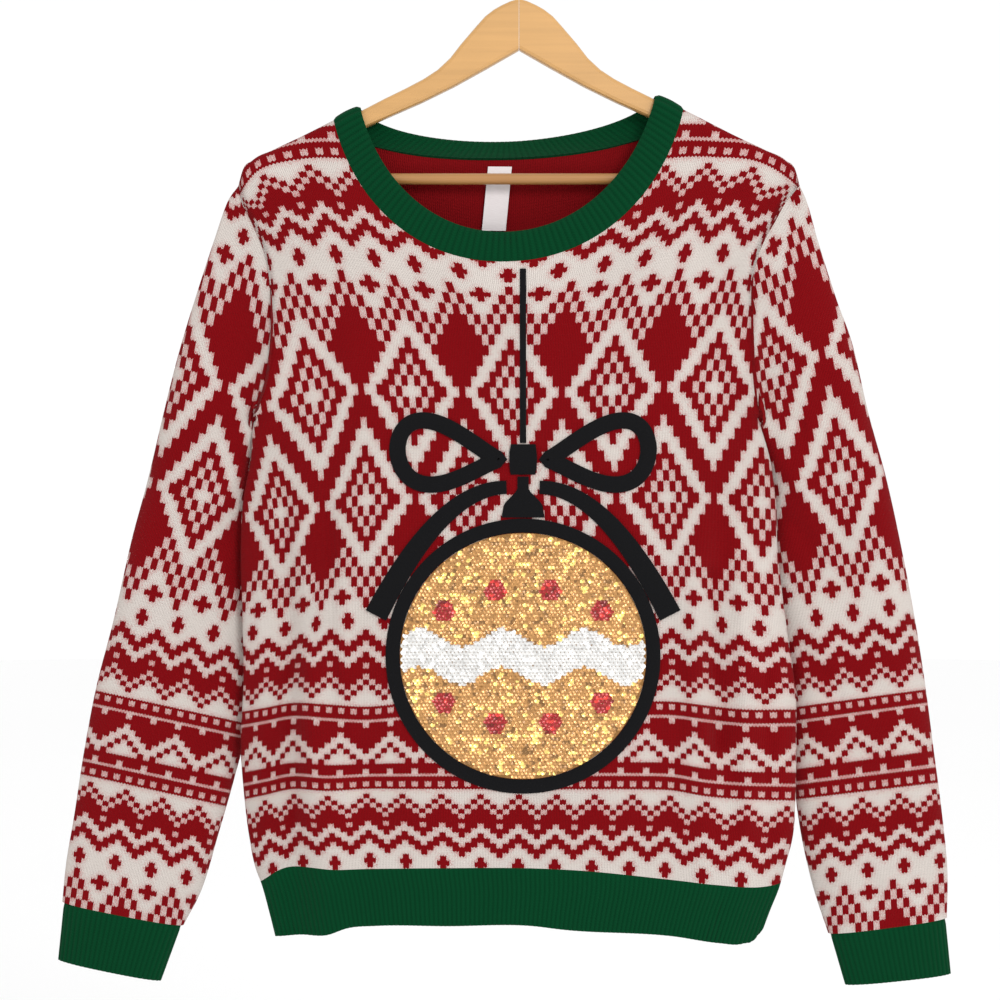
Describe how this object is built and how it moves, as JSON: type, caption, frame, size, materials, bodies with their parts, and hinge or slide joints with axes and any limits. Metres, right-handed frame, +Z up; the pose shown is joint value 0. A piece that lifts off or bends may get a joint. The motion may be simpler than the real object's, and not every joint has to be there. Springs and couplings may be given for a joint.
{
  "type": "christmas sweater on a wooden hanger",
  "caption": "Long-sleeved patterned knit sweater with ribbed neck, hem and cuffs and a round sequin patch, hanging on a flat wooden hanger with a wire hook.",
  "frame": {"origin": "the top of the inside of the hanger's hook, where a rail carries it", "axes": "+Z up, the garment's front faces -Y, +X to the right of someone who looks at the front"},
  "size_m": [0.7139, 0.0627, 0.8647],
  "materials": {
    "ivory_red_knit": "matt jacquard knit in ivory and red",
    "green_rib": "matt one-by-one rib",
    "sequins": "glossy overlapping sequins on cloth",
    "black_applique": "matt napped applique",
    "satin": "satin tape, blank",
    "beech": "clear satin varnish",
    "steel": "bright plated wire"
  },
  "bodies": {
    "root": {"front_panel": "ivory_red_knit", "back_panel": "ivory_red_knit", "sleeve_left": "ivory_red_knit", "sleeve_right": "ivory_red_knit", "hem_rib_front": "green_rib", "hem_rib_back": "green_rib", "cuff_left": "green_rib", "cuff_right": "green_rib", "neck_rib": "green_rib", "motif_patch": "sequins", "motif_border": "black_applique", "motif_knot": "black_applique", "motif_loop_left": "black_applique", "motif_loop_right": "black_applique", "motif_tail_left": "black_applique", "motif_tail_right": "black_applique", "motif_cord": "black_applique", "motif_cap": "black_applique", "label": "satin", "hanger_arm_left": "beech", "hanger_arm_right": "beech", "hanger_bar": "beech", "hanger_hook": "steel"}
  },
  "joints": []
}
